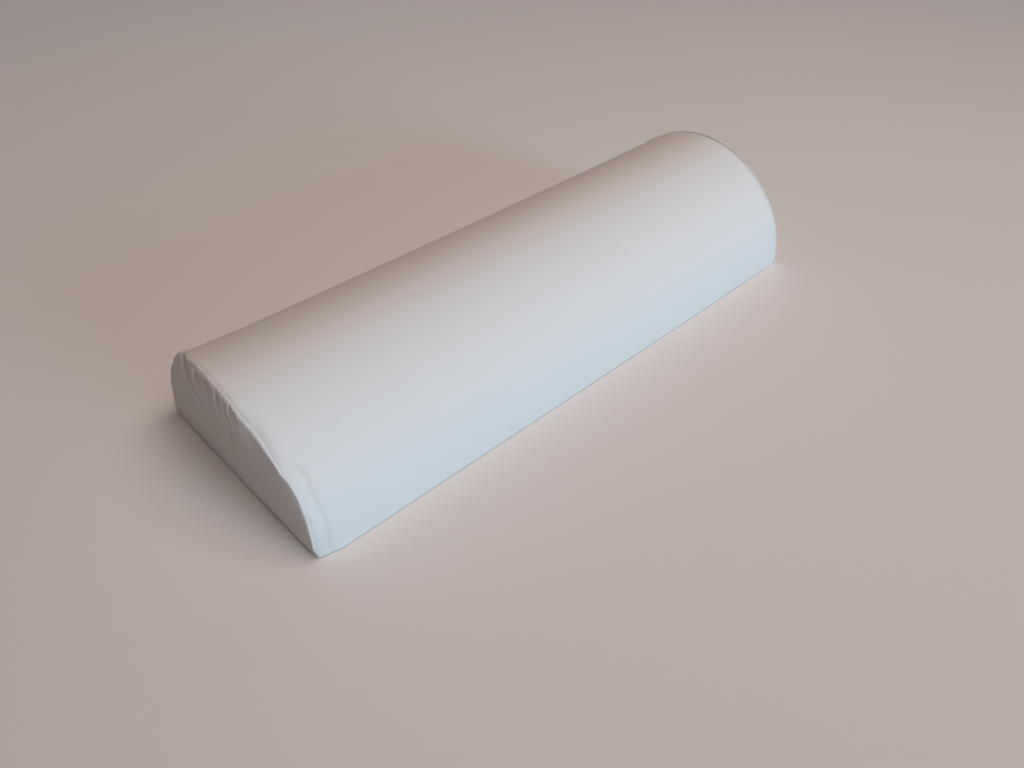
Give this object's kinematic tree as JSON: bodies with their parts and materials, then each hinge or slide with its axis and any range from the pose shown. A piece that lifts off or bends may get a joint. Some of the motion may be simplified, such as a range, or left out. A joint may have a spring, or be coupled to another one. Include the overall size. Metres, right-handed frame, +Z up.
{
  "type": "knee pillow",
  "caption": "Half-round knee bolster with a flat base and a domed top: a filled body in stretched jersey, with a D-shaped cloth sewn into each end.",
  "frame": {"origin": "middle of the flat base, under the middle of the pillow's length", "axes": "+X along the pillow, -Y to its front, +Z up out of the base through the crown"},
  "size_m": [0.537, 0.1996, 0.098],
  "materials": {
    "wrap_jersey": "fine off-white knitted jersey, matt, stretched smooth over the filling",
    "end_jersey": "the same off-white jersey, looser, puckered along its sewn edge"
  },
  "bodies": {
    "root": {"filled_body": "wrap_jersey", "end_cloth_left": "end_jersey", "end_cloth_right": "end_jersey"}
  },
  "joints": []
}
